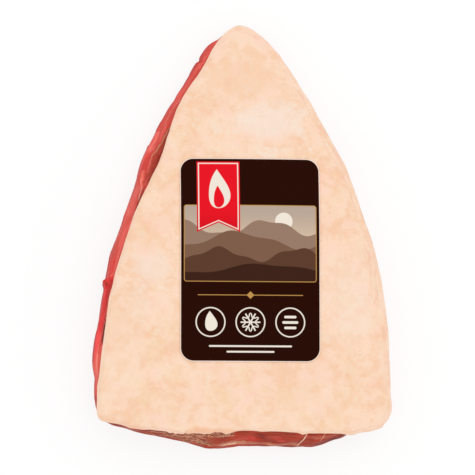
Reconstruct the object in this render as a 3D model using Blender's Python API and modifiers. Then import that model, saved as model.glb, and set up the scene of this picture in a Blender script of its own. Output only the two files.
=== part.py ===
"""A raw picanha (rump cap) lying on its lean side: the lean, the fat cap over it, and a label on the fat.

Metres, +Z up. +Y runs from the broad cut end to the tip, +X to the side that the fat wraps round.
The origin is under the middle of the cut, on the surface that it lies on.
"""

import math

import bmesh
import bpy
import numpy as np

MM = 0.001

# Driving dimensions
BODY_HEIGHT = 47 * MM  # fat and lean together, at the thickest
TIP_HEIGHT = 26 * MM  # the same, just behind the tip
TAPER_LENGTH = 140 * MM  # from the tip to where the cut is at its full height
CROWN = 5 * MM  # how much lower the top is at the sides than along the middle
END_DROP = 2.5 * MM  # and at the broad end
HALF_WIDTH = 93 * MM
BASE_FAT = 12 * MM  # thickness of the fat cap at the broad end
TIP_FAT = 7.5 * MM  # and behind the tip
FAT_UNEVEN = 1.1 * MM  # how far that thickness strays
TOP_SWELL = 0.5 * MM  # the low swells of the fat's upper surface
GAP = 0.3 * MM  # between pieces that touch

LABEL_SIZE = (88 * MM, 128.6 * MM)
LABEL_CORNER = 8.5 * MM
LABEL_THICKNESS = 0.4 * MM
LABEL_CENTRE = (3 * MM, -17.8 * MM)

# The rim of the fat cap from above, in mm, counterclockwise from the tip
RIM_POINTS = (
    (-2, 134.5),
    (-14.5, 125),
    (-26, 105.5),
    (-41, 81.5),
    (-53, 46.5),
    (-67, 16.5),
    (-80.5, -24.5),
    (-87.5, -62.5),
    (-91, -95.5),
    (-92, -112.5),
    (-90.5, -117),
    (-84.5, -119.8),
    (-58, -123),
    (-2, -124),
    (44, -125.5),
    (70, -125),
    (87, -121.5),
    (93.6, -112),
    (93.2, -98.5),
    (93.2, -83.5),
    (88, -29.5),
    (76, 14),
    (67, 40.5),
    (55.6, 62.3),
    (35, 99.5),
    (14.5, 126),
)
MIDDLE = (1 * MM, -29.5 * MM)  # the pole that the rings of each piece close on

# Sizes that change round the rim: (share of the way round from the tip, value).
# Shares 0 to 0.36 are the long cut side, 0.36 to 0.62 the broad end, 0.62 to 1 the side under the fat.
OVERHANG_MM = (  # how far the lean's belly stands out past the fat
    (0.00, -1.5),
    (0.02, 1.8),
    (0.03, 4.8),
    (0.04, 4.5),
    (0.05, 6.0),
    (0.07, 4.0),
    (0.09, 4.5),
    (0.12, 8.5),
    (0.14, 11.0),
    (0.155, 9.5),
    (0.17, 6.5),
    (0.20, 5.0),
    (0.23, 6.0),
    (0.25, 4.5),
    (0.265, 4.5),
    (0.285, 3.5),
    (0.30, 5.0),
    (0.32, 5.5),
    (0.335, 2.0),
    (0.35, 1.5),
    (0.358, 0.5),
    (0.364, -2.5),
    (0.376, -2.5),
    (0.386, 0.0),
    (0.40, 1.3),
    (0.425, 3.0),
    (0.445, 7.0),
    (0.465, 11.0),
    (0.49, 9.0),
    (0.51, 8.0),
    (0.54, 7.5),
    (0.555, 8.5),
    (0.575, 2.0),
    (0.60, -2.0),
    (0.63, -2.5),
    (0.96, -2.5),
)
WRAP = (  # 0 where the fat ends level with its layer, 1 where it runs down to the surface
    (0.00, 0.55),
    (0.03, 0.12),
    (0.08, 0.00),
    (0.57, 0.00),
    (0.62, 0.55),
    (0.68, 1.00),
    (0.92, 1.00),
    (0.98, 0.70),
)
ROLL_MM = (  # width of the rounding between the top of the fat and its side
    (0.00, 12.0),
    (0.05, 5.0),
    (0.12, 3.5),
    (0.33, 3.5),
    (0.38, 4.0),
    (0.42, 3.0),
    (0.56, 3.0),
    (0.61, 8.0),
    (0.70, 21.0),
    (0.90, 20.0),
)
LIP_MM = (  # how far the lower edge of the fat is set back from its widest line
    (0.00, 3.0),
    (0.05, 1.4),
    (0.57, 1.2),
    (0.65, 4.5),
    (0.93, 4.5),
)

WRAP_EDGE = 9 * MM  # height of the fat's lower edge where it wraps round
WRAP_WAVE = 2 * MM  # how far that edge runs up and down
SEAM_DROP = 1 * MM  # how far the seam dips on its way out to the cut sides
SEAM_ROLL = 0.8  # width of the seam's own rounding, as a share of the fat's
FAT_BULGE = 0.38  # height of the fat's widest line, as a share of its side
FAT_FULLNESS = 0.9  # 1 is an elliptic side, and less is a fuller one
BELLY = 0.36  # height of the lean's widest line, as a share of its wall
LEAN_FULLNESS = 1.25
UNDERCUT = 5.5 * MM  # how far the lean draws in from there to where it lies

# Seams between muscle bundles: (share down the wall, sway, waves round the rim, depth, width)
GROOVES = (
    (0.34, 0.10, 3, 1.3 * MM, 0.10),
    (0.78, 0.06, 5, 0.8 * MM, 0.08),
)
BROAD_END = (0.37, 0.61)  # the shares between which the cut face runs across the grain
BROAD_EASE = 0.04
GRAIN_DEPTH = 0.5 * MM  # the uneven grain of that face

AROUND = 128  # points round each ring
FLAT_RINGS = (0.30, 0.56, 0.76, 0.90, 1.0)  # rings across the top of the lean
TOP_RINGS = (0.16, 0.32, 0.48, 0.62, 0.75, 0.88, 1.0)  # rings across the top of the fat
ROLL_STEPS = 4
LIP_STEPS = 2
SEAM_STEPS = 3
UPPER_WALL_STEPS = 6
LOWER_WALL_STEPS = 3
UNDER_RINGS = (0.7, 0.35)
LABEL_CELLS = (12, 18)
CORNER_CELLS = 3  # of these, how many cross each corner


def clear_scene():
    for thing in list(bpy.data.objects):
        bpy.data.objects.remove(thing, do_unlink=True)


def material(name, colour, roughness):
    made = bpy.data.materials.new(name)
    made.use_nodes = True
    shader = made.node_tree.nodes["Principled BSDF"]
    shader.inputs["Base Color"].default_value = (*colour, 1.0)
    shader.inputs["Roughness"].default_value = roughness
    shader.inputs["Metallic"].default_value = 0.0
    return made


def smooth_closed_curve(points, steps):
    """A closed centripetal Catmull-Rom curve through the points, as one array."""
    spans = []
    count = len(points)
    for index in range(count):
        corners = [points[(index + offset) % count] for offset in (-1, 0, 1, 2)]
        knots = [0.0]
        for start, end in zip(corners, corners[1:]):
            knots.append(knots[-1] + math.sqrt(np.linalg.norm(end - start)))
        t = np.linspace(knots[1], knots[2], steps, endpoint=False)[:, None]

        def between(low, high, first, second):
            return ((high - t) * first + (t - low) * second) / (high - low)

        a = [between(knots[k], knots[k + 1], corners[k], corners[k + 1]) for k in range(3)]
        b = [between(knots[k], knots[k + 2], a[k], a[k + 1]) for k in range(2)]
        spans.append(between(knots[1], knots[2], b[0], b[1]))
    return np.concatenate(spans)


def rim():
    """Points, outward normals and shares of the way round, evenly spaced along the fat's rim."""
    curve = smooth_closed_curve(np.array(RIM_POINTS) * MM, 40)
    closed = np.vstack([curve, curve[:1]])
    lengths = np.concatenate([[0], np.cumsum(np.linalg.norm(np.diff(closed, axis=0), axis=1))])
    share = np.arange(AROUND) / AROUND
    points = np.stack(
        [np.interp(share, lengths / lengths[-1], closed[:, axis]) for axis in (0, 1)], axis=1
    )
    along = np.roll(points, -1, axis=0) - np.roll(points, 1, axis=0)
    along /= np.linalg.norm(along, axis=1)[:, None]
    return points, np.stack([along[:, 1], -along[:, 0]], axis=1), share


def round_the_rim(stations, share):
    """The value at each share of the way round, read between the stations and evened out."""
    places = [place for place, _ in stations]
    values = [value for _, value in stations]
    read = np.interp(share, places, values, period=1.0)
    return (np.roll(read, 1) + 2 * read + np.roll(read, -1)) / 4


def smooth_step(t):
    t = np.clip(t, 0.0, 1.0)
    return t * t * (3 - 2 * t)


def wave(turns):
    return np.sin(2 * math.pi * turns)


def top_height(x, y):
    """Height of the fat's upper surface over a point of the plan, away from the rim."""
    tip_y = RIM_POINTS[0][1] * MM
    rise = smooth_step((tip_y - y) / TAPER_LENGTH)
    height = TIP_HEIGHT + (BODY_HEIGHT - TIP_HEIGHT) * rise
    height = height - CROWN * (x / HALF_WIDTH) ** 2
    height = height - END_DROP * smooth_step((-y - 75 * MM) / (50 * MM))
    swell = np.sin(x / (19 * MM) + 1.1) * np.sin(y / (27 * MM) + 0.4)
    return height + TOP_SWELL * swell


def fat_thickness(x, y):
    towards_tip = smooth_step((y + 100 * MM) / (220 * MM))
    uneven = np.sin(x / (29 * MM) + 0.5) + 0.6 * np.sin(y / (17 * MM) + 0.9)
    return BASE_FAT + (TIP_FAT - BASE_FAT) * towards_tip + FAT_UNEVEN * uneven


def seam_height(x, y):
    """Height where the lean ends and the fat begins, away from the rim."""
    return top_height(x, y) - fat_thickness(x, y)


def towards_rim(points, reach):
    """Plan points part of the way from the middle to each rim point."""
    return np.array(MIDDLE) + reach[:, None] * (points - np.array(MIDDLE))


def with_height(plan, height):
    return np.column_stack([plan, height])


def quarter_turns(steps):
    """Angles after the start of a quarter turn, ending at the full quarter."""
    return [math.pi / 2 * step / steps for step in range(1, steps + 1)]


def seam_rings(points, normals, share, lift):
    """Rings of the seam between lean and fat, from the middle outwards, raised by the lift."""
    lip = round_the_rim(LIP_MM, share) * MM
    edge = points - lip[:, None] * normals
    roll = SEAM_ROLL * round_the_rim(ROLL_MM, share) * MM
    reach = np.linalg.norm(edge - np.array(MIDDLE), axis=1)
    edge_height = seam_edge_height(edge, share)
    rings = []
    for part in FLAT_RINGS:
        plan = towards_rim(edge, part * (1 - roll / reach))
        rings.append(with_height(plan, seam_height(*plan.T) + lift))
    for turn in quarter_turns(SEAM_STEPS):
        inset = roll * (1 - math.sin(turn))
        plan = towards_rim(edge, 1 - inset / reach) + lift * math.sin(turn) * normals
        drop = (seam_height(*plan.T) - edge_height) * (1 - math.cos(turn))
        rings.append(with_height(plan, seam_height(*plan.T) - drop + lift))
    return rings


def seam_edge_height(edge, share):
    """Height of the seam where it comes out at the side."""
    wrap = round_the_rim(WRAP, share)
    level = seam_height(*edge.T) - SEAM_DROP
    wrapped = WRAP_EDGE + WRAP_WAVE * wave(7 * share + 0.2)
    return (1 - wrap) * level + wrap * wrapped


def wall_relief(share, down):
    """How far the lean's wall stands out: less at the seams, more and less with the grain."""
    start, end = BROAD_END
    broad = smooth_step((share - start) / BROAD_EASE) * smooth_step((end - share) / BROAD_EASE)
    grain = wave(29 * share + 1.3 * down) * wave(11 * share + 2.1 * down)
    relief = GRAIN_DEPTH * broad * grain
    for height, sway, waves, depth, width in GROOVES:
        line = height + sway * wave(waves * share + 0.1)
        relief = relief - depth * (1 - 0.6 * broad) * np.exp(-(((down - line) / width) ** 2))
    return math.sin(math.pi * down) * relief


def lean_rings(points, normals, share):
    """Rings of the lean from the middle of its top, down its wall and in under it."""
    rings = seam_rings(points, normals, share, 0.0)
    shoulder = rings[-1]
    belly = points + round_the_rim(OVERHANG_MM, share)[:, None] * MM * normals
    belly_height = BELLY * shoulder[:, 2]
    for step, turn in enumerate(quarter_turns(UPPER_WALL_STEPS), 1):
        out = math.sin(turn) ** LEAN_FULLNESS
        drop = (1 - math.cos(turn) ** LEAN_FULLNESS) * (shoulder[:, 2] - belly_height)
        relief = wall_relief(share, (1 - BELLY) * step / UPPER_WALL_STEPS)
        plan = shoulder[:, :2] + out * (belly - shoulder[:, :2]) + relief[:, None] * normals
        rings.append(with_height(plan, shoulder[:, 2] - drop))
    for step, turn in enumerate(quarter_turns(LOWER_WALL_STEPS), 1):
        relief = wall_relief(share, 1 - BELLY + BELLY * step / LOWER_WALL_STEPS)
        plan = belly + (relief - UNDERCUT * (1 - math.cos(turn)))[:, None] * normals
        rings.append(with_height(plan, belly_height * (1 - math.sin(turn))))
    foot = rings[-1][:, :2]
    for part in UNDER_RINGS:
        rings.append(with_height(towards_rim(foot, np.full(AROUND, part)), np.zeros(AROUND)))
    return rings


def fat_rings(points, normals, share):
    """Rings of the fat cap from the middle of its top, over its rim and back along the seam."""
    roll = round_the_rim(ROLL_MM, share) * MM
    reach = np.linalg.norm(points - np.array(MIDDLE), axis=1)
    seam = seam_rings(points, normals, share, GAP)
    edge = seam[-1]
    inner_top = towards_rim(points, 1 - roll / reach)
    widest = edge[:, 2] + FAT_BULGE * (top_height(*inner_top.T) - edge[:, 2])
    rings = []
    for part in TOP_RINGS:
        plan = towards_rim(points, part * (1 - roll / reach))
        rings.append(with_height(plan, top_height(*plan.T)))
    for turn in quarter_turns(ROLL_STEPS):
        plan = towards_rim(points, 1 - roll * (1 - math.sin(turn)) / reach)
        rise = math.cos(turn) ** FAT_FULLNESS
        rings.append(with_height(plan, widest + (top_height(*plan.T) - widest) * rise))
    for step in range(1, LIP_STEPS):
        part = step / LIP_STEPS
        plan = points + (edge[:, :2] - points) * part**2
        rings.append(with_height(plan, widest + (edge[:, 2] - widest) * part))
    rings.extend(reversed(seam))
    return rings


def piece_from_rings(name, rings, made_of):
    """A UV sphere with one circle of points for each ring, moved onto the rings."""
    mesh = bmesh.new()
    bmesh.ops.create_uvsphere(mesh, u_segments=AROUND, v_segments=len(rings) + 1, radius=1.0)
    table = np.array(rings)
    poles = table[0].mean(axis=0), table[-1].mean(axis=0)
    for point in mesh.verts:
        down = math.acos(max(-1.0, min(1.0, point.co.z))) / math.pi
        row = round(down * (len(rings) + 1)) - 1
        turn = math.atan2(point.co.y, point.co.x) / (2 * math.pi)
        column = round(turn * AROUND) % AROUND
        if row < 0:
            point.co = poles[0]
        elif row >= len(rings):
            point.co = poles[1]
        else:
            point.co = table[row, column]
    data = bpy.data.meshes.new(name)
    mesh.to_mesh(data)
    mesh.free()
    return add_object(name, data, made_of)


def add_object(name, data, made_of):
    data.materials.append(made_of)
    data.shade_smooth()
    data.set_sharp_from_angle(angle=math.radians(50))
    thing = bpy.data.objects.new(name, data)
    cut.objects.link(thing)
    return thing


def label_line(share, size, cells):
    """Place of a line of the label's grid, where the share runs from -0.5 to 0.5."""
    steps = abs(share) * cells
    inner_cells = cells / 2 - CORNER_CELLS
    inner = min(steps, inner_cells) / inner_cells * (size / 2 - LABEL_CORNER)
    outer = max(0.0, steps - inner_cells) / CORNER_CELLS * LABEL_CORNER
    return math.copysign(inner + outer, share)


def round_corner(x, y):
    """Moves a point of the label's plain rectangle so that its corners become quarter circles."""
    inner = (LABEL_SIZE[0] / 2 - LABEL_CORNER, LABEL_SIZE[1] / 2 - LABEL_CORNER)
    over = [max(0.0, abs(value) - edge) / LABEL_CORNER for value, edge in zip((x, y), inner)]
    bent = (
        over[0] * math.sqrt(1 - over[1] ** 2 / 2),
        over[1] * math.sqrt(1 - over[0] ** 2 / 2),
    )
    return tuple(
        value if part == 0 else math.copysign(edge + LABEL_CORNER * part, value)
        for value, edge, part in zip((x, y), inner, bent)
    )


def make_label(made_of):
    """A thin sheet with rounded corners that lies on the fat."""
    mesh = bmesh.new()
    bmesh.ops.create_grid(mesh, x_segments=LABEL_CELLS[0], y_segments=LABEL_CELLS[1], size=0.5)
    for point in mesh.verts:
        lines = [label_line(*axis) for axis in zip(point.co.xy, LABEL_SIZE, LABEL_CELLS)]
        x, y = np.add(round_corner(*lines), LABEL_CENTRE)
        point.co = (x, y, top_height(x, y) + GAP)
    data = bpy.data.meshes.new("label")
    mesh.to_mesh(data)
    mesh.free()
    sheet = add_object("label", data, made_of)
    wall = sheet.modifiers.new("Thickness", "SOLIDIFY")
    wall.thickness = LABEL_THICKNESS
    wall.offset = 1.0
    return sheet


clear_scene()
cut = bpy.data.collections.new("raw_picanha")
bpy.context.scene.collection.children.link(cut)

lean_red = material("lean", (0.50, 0.085, 0.065), 0.38)
fat_cream = material("fat", (0.94, 0.66, 0.48), 0.50)
label_brown = material("label", (0.026, 0.006, 0.003), 0.35)

rim_points, rim_normals, rim_share = rim()
piece_from_rings("muscle", lean_rings(rim_points, rim_normals, rim_share), lean_red)
piece_from_rings("fat_cap", fat_rings(rim_points, rim_normals, rim_share), fat_cream)
make_label(label_brown)
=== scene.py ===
import math

import bpy
import numpy as np
from mathutils import Matrix, Vector


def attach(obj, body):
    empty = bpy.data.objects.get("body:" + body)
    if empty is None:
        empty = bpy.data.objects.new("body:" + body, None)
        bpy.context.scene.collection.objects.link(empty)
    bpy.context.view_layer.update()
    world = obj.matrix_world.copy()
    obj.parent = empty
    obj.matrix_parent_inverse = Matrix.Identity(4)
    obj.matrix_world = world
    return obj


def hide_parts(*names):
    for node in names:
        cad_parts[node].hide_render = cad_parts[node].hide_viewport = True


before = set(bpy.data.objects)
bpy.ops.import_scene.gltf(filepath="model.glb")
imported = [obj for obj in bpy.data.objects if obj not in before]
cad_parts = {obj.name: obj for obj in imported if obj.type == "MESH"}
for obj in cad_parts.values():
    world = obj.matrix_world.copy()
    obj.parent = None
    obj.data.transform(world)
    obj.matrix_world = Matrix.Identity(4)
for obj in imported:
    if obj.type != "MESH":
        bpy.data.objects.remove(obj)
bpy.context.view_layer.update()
mm = 0.001


# The form of the cut, which the lean, the fat and the label share.
# Lengths are in millimetres. Shares say how far round the rim from the tip, counterclockwise:
# 0 to 0.36 is the long cut side, 0.36 to 0.62 the broad end, 0.62 to 1 the side under the fat.
# A place on the wall is (thousandths of the rim, hundredths of the way down from fat to board).

cut = {
    "bodyHeight": 47,  # fat and lean together, at the thickest
    "tipHeight": 26,
    "taperLength": 140,  # from the tip to where the cut is at its full height
    "crown": 5,  # how much lower the top is at the sides than along the middle
    "endDrop": 2.5,  # and at the broad end
    "halfWidth": 93,
    "baseFat": 12,  # thickness of the fat at the broad end
    "tipFat": 7.5,
    "fatUneven": 1.1,
    "topSwell": 0.5,
    "middle": (1, -29.5),  # the pole that the rings of each piece close on
    "rim": [
        (-2, 134.5), (-14.5, 125), (-26, 105.5), (-41, 81.5), (-53, 46.5), (-67, 16.5), (-80.5, -24.5),
        (-87.5, -62.5), (-91, -95.5), (-92, -112.5), (-90.5, -117), (-84.5, -119.8), (-58, -123),
        (-2, -124), (44, -125.5), (70, -125), (87, -121.5), (93.6, -112), (93.2, -98.5), (93.2, -83.5),
        (88, -29.5), (76, 14), (67, 40.5), (55.6, 62.3), (35, 99.5), (14.5, 126),
    ],
    "overhang": [  # how far the lean's belly stands out past the fat
        (0, -1.5), (0.02, 1.8), (0.03, 4.8), (0.04, 4.5), (0.05, 6), (0.07, 4), (0.09, 4.5),
        (0.12, 8.5), (0.14, 11), (0.155, 9.5), (0.17, 6.5), (0.2, 5), (0.23, 6), (0.25, 4.5),
        (0.265, 4.5), (0.285, 3.5), (0.3, 5), (0.32, 5.5), (0.335, 2), (0.35, 1.5), (0.358, 0.5),
        (0.364, -2.5), (0.376, -2.5), (0.386, 0), (0.4, 1.3), (0.425, 3), (0.445, 7),
        (0.465, 11), (0.49, 9), (0.51, 8), (0.54, 7.5), (0.555, 8.5), (0.575, 2), (0.6, -2),
        (0.63, -2.5), (0.96, -2.5),
    ],
    "wrap": [  # 1 where the fat runs down towards the board
        (0, 0.55), (0.03, 0.12), (0.08, 0), (0.57, 0), (0.62, 0.55), (0.68, 1), (0.92, 1),
        (0.98, 0.7),
    ],
    "roll": [  # width of the rounding between the top of the fat and its side
        (0, 12), (0.05, 5), (0.12, 3.5), (0.33, 3.5), (0.38, 4), (0.42, 3), (0.56, 3),
        (0.61, 8), (0.7, 21), (0.9, 20),
    ],
    "lip": [  # how far the fat's lower edge is set back
        (0, 3), (0.05, 1.4), (0.57, 1.2), (0.65, 4.5), (0.93, 4.5),
    ],
    "evening": 0.0055,  # the tables above are evened out over this share of the rim
    "wrapEdge": 9,  # height of the fat's lower edge where it wraps round
    "wrapWave": 2,
    "flats": [0.3, 0.6, 0.85, 1],  # rings across the seam, as parts of the way to its rounding
    "seamDrop": 1,  # how far the seam dips on its way out to the cut sides
    "seamRoll": 0.8,  # width of the seam's rounding, as a share of the fat's
    "fatBulge": 0.38,  # height of the fat's widest line, as a share of its side
    "fatFullness": 0.9,  # 1 is an elliptic side, and less is a fuller one
    "belly": 0.36,  # height of the lean's widest line, as a share of its wall
    "leanFullness": 1.25,
    "undercut": 5.5,  # how far the lean draws in from there to the board
    "broadEnd": (0.37, 0.61, 0.04),  # where the cut runs across the grain: from, to and ease
    "startShare": 0.8,  # the columns of every grid start here, under the wrapped fat
    "wallHeight": 50,  # the wall's own map runs down from 0 at the fat to this at the board
}


def smoothClosedCurve(points, steps):
    # centripetal Catmull-Rom: each span blends the lines through its four nearest points
    corners = [np.roll(points, shift, axis=0)[:, None] for shift in (1, 0, -1, -2)]
    knots = [np.zeros((len(points), 1, 1))]
    for start, end in zip(corners, corners[1:]):
        knots.append(knots[-1] + np.sqrt(np.linalg.norm(end - start, axis=2, keepdims=True)))
    t = between(knots[1], knots[2], (np.arange(steps) / steps)[None, :, None])

    def through(low, high, first, second):
        return ((high - t) * first + (t - low) * second) / (high - low)

    lines = [through(knots[k], knots[k + 1], corners[k], corners[k + 1]) for k in range(3)]
    bends = [through(knots[k], knots[k + 2], lines[k], lines[k + 1]) for k in range(2)]
    return through(knots[1], knots[2], *bends).reshape(-1, 2)


def between(start, end, t):
    # the start plus t times the way to the end
    return start + t * (end - start)


def smoothStep(t):
    # three times the square of t, less twice its cube, from 0 to 1
    t = np.clip(t, 0, 1)
    return t * t * (3 - 2 * t)


def unit(vectors):
    # the vectors over their lengths
    return vectors / np.maximum(np.linalg.norm(vectors, axis=-1, keepdims=True), 1e-9)


def band(t, start, end, ease):
    # 1 between start and end, easing in and out inside them
    return smoothStep((t - start) / ease) * smoothStep((end - t) / ease)


def bell(t, centre, width):
    # a Gaussian: 1 at the centre, falling off on both sides
    return np.exp(-(((t - centre) / width) ** 2))


def wave(turns):
    # a sine that takes whole turns
    return np.sin(2 * math.pi * turns)


def randomField(points, size, seed, stretch=(1, 1, 1), count=36):
    # the sum of cosine waves of about one length in random directions, scaled to unit spread
    rng = np.random.default_rng(seed)
    ways = unit(rng.normal(size=(count, 3)))
    ways *= 2 * math.pi / (size * rng.uniform(0.7, 1.5, (count, 1)))
    phases = rng.uniform(0, 2 * math.pi, count)
    return np.cos(points @ (ways / np.array(stretch)).T + phases).sum(axis=-1) * math.sqrt(2 / count)


class Rim:
    # the rim of the fat cap, evenly cut into columns, with what varies round it
    def __init__(self, columns):
        curve = smoothClosedCurve(np.array(cut["rim"], float), 60)
        closed = np.vstack([curve, curve[:1]])
        lengths = np.concatenate([[0], np.cumsum(np.linalg.norm(np.diff(closed, axis=0), axis=1))])
        self.perimeter = lengths[-1]
        self.share = (cut["startShare"] + np.arange(columns) / columns) % 1
        places = [np.interp(self.share, lengths / lengths[-1], line) for line in closed.T]
        self.points = np.stack(places, axis=1)
        along = unit(np.roll(self.points, -1, axis=0) - np.roll(self.points, 1, axis=0))
        self.normals = np.stack([along[:, 1], -along[:, 0]], axis=1)

    def read(self, name):
        # straight between the stations, then evened out by a Gaussian filter round the rim
        places, values = zip(*cut[name])
        waves = np.fft.rfft(np.interp(self.share, places, values, period=1))
        keep = np.exp(-2 * (math.pi * np.arange(len(waves)) * cut["evening"]) ** 2)
        return np.fft.irfft(waves * keep, len(self.share))


def topHeight(plan):
    # a smooth rise from the tip, lower to the sides and the broad end, with crossed sine swells
    x, y = plan[..., 0], plan[..., 1]
    rise = smoothStep((cut["rim"][0][1] - y) / cut["taperLength"])
    height = between(cut["tipHeight"], cut["bodyHeight"], rise)
    height = height - cut["crown"] * (x / cut["halfWidth"]) ** 2
    height = height - cut["endDrop"] * smoothStep((-y - 75) / 50)
    return height + cut["topSwell"] * np.sin(x / 19 + 1.1) * np.sin(y / 27 + 0.4)


def seamHeight(plan):
    # below the top by the fat's thickness: less towards the tip, and uneven by two sines
    x, y = plan[..., 0], plan[..., 1]
    towardsTip = smoothStep((y + 100) / 220)
    uneven = np.sin(x / 29 + 0.5) + 0.6 * np.sin(y / 17 + 0.9)
    thickness = between(cut["baseFat"], cut["tipFat"], towardsTip)
    return topHeight(plan) - (thickness + cut["fatUneven"] * uneven)


def towardsRim(points, part):
    # part of the way from the pole out to the points
    return between(np.array(cut["middle"]), points, part[..., None])


def withHeight(plan, height):
    # points in the plan, raised to their heights
    return np.concatenate([plan, height[..., None]], axis=-1)


def quarterTurns(steps):
    # even steps up to a right angle
    return (math.pi / 2 * np.arange(1, steps + 1) / steps)[:, None]


def seamRings(rim, lift, turnSteps):
    # the seam between lean and fat: rings out from the middle, then a quarter turn to its edge,
    # out by a sine and down by 1 less a cosine
    edge = rim.points - rim.read("lip")[:, None] * rim.normals
    roll = cut["seamRoll"] * rim.read("roll")
    reach = np.linalg.norm(edge - cut["middle"], axis=1)
    wrap = rim.read("wrap")
    wrapped = cut["wrapEdge"] + cut["wrapWave"] * wave(7 * rim.share + 0.2)
    edgeHeight = between(seamHeight(edge) - cut["seamDrop"], wrapped, wrap)
    flat = towardsRim(edge, np.array(cut["flats"])[:, None] * (1 - roll / reach))
    turn = quarterTurns(turnSteps)
    bent = towardsRim(edge, 1 - roll * (1 - np.sin(turn)) / reach)
    bent = bent + lift * np.sin(turn)[..., None] * rim.normals
    drop = (seamHeight(bent) - edgeHeight) * (1 - np.cos(turn))
    return np.concatenate([
        withHeight(flat, seamHeight(flat) + lift),
        withHeight(bent, seamHeight(bent) - drop + lift),
    ])


def gridNormals(rings):
    # down the grid times across it, both as differences between neighbours
    across = np.roll(rings, -1, axis=1) - np.roll(rings, 1, axis=1)
    return unit(np.cross(np.gradient(rings, axis=0), across))


def wallMap(share, down):
    # the wall laid out flat, in millimetres: along the rim, and down from the fat to the board
    return np.stack(np.broadcast_arrays(share * rimLength, down * cut["wallHeight"]), axis=-1)


def wallSpot(place):
    # from a place as the tables give it
    return wallMap(place[0] / 1000, place[1] / 100)


def nearLine(places, start, end, width):
    # 1 on the straight line from start to end on the wall, falling off as a bell all round it
    start, end = wallSpot(start), wallSpot(end)
    way = end - start
    t = np.clip((places - start) @ way / (way @ way), 0, 1)
    return bell(np.linalg.norm(places - start - t[..., None] * way, axis=-1), 0, width)


def addObject(name, data):
    made = bpy.data.objects.new(name, data)
    bpy.context.scene.collection.objects.link(made)
    return made


def addPiece(name, points, faces, material):
    mesh = bpy.data.meshes.new(name)
    mesh.from_pydata((points * mm).tolist(), [], faces)
    mesh.shade_smooth()
    mesh.materials.append(material)
    piece = addObject(name, mesh)
    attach(piece, "root")
    print("scene:", name, len(mesh.polygons), "faces")
    return piece


def closedPiece(name, rings, down, material):
    # quads between the rings and a fan of triangles at each pole, mapped by place on the wall
    count, around = rings.shape[:2]
    index = np.arange(count * around).reshape(count, around)
    beside = np.roll(index, -1, axis=1)
    quads = np.stack([index[:-1], index[1:], beside[1:], beside[:-1]], axis=-1).reshape(-1, 4)
    poles = count * around + np.arange(2)
    topFan = np.stack([np.full(around, poles[0]), index[0], beside[0]], axis=-1)
    lowFan = np.stack([np.full(around, poles[1]), beside[-1], index[-1]], axis=-1)
    points = np.vstack([rings.reshape(-1, 3), rings[0].mean(axis=0), rings[-1].mean(axis=0)])
    faces = quads.tolist() + topFan.tolist() + lowFan.tolist()
    piece = addPiece(name, points, faces, material)

    share = cut["startShare"] - 1 + np.arange(around + 1) / around
    flat = wallMap(share[None], down[:, None])
    left, right = flat[:, :-1], flat[:, 1:]
    corners = [
        np.stack([left[:-1], left[1:], right[1:], right[:-1]], axis=2),
        np.stack([left[0], left[0], right[0]], axis=1),
        np.stack([left[-1], right[-1], left[-1]], axis=1),
    ]
    layer = piece.data.uv_layers.new(name="wall")
    spots = np.concatenate([part.ravel() for part in corners])
    layer.data.foreach_set("uv", spots.astype(np.float32))
    return piece


def mathNode(operation):
    # the operator that adds this Math node
    return lambda wire, *others: wire.paint.maths(operation, wire, *others)


class Wire:
    # one socket of a shader: arithmetic on it adds Math nodes
    __add__ = __radd__ = mathNode("ADD")
    __mul__ = __rmul__ = mathNode("MULTIPLY")
    __sub__ = mathNode("SUBTRACT")
    __truediv__ = mathNode("DIVIDE")
    __pow__ = mathNode("POWER")
    __abs__ = mathNode("ABSOLUTE")
    most = mathNode("MAXIMUM")
    least = mathNode("MINIMUM")
    sine = mathNode("SINE")

    def __init__(self, paint, socket):
        self.paint = paint
        self.socket = socket

    def __rsub__(self, other):
        return self.paint.maths("SUBTRACT", other, self)

    def step(self, low, high):
        # 0 below low, 1 above high, and smooth between; low above high turns it round
        sockets = {"Value": self, "From Min": low, "From Max": high}
        return self.paint.node("ShaderNodeMapRange", {"interpolation_type": "SMOOTHSTEP"}, sockets)

    def band(self, low, high, ease):
        # 1 from low to high, with an ease across each
        return self.step(low - ease, low + ease) * self.step(high + ease, high - ease)


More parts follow.
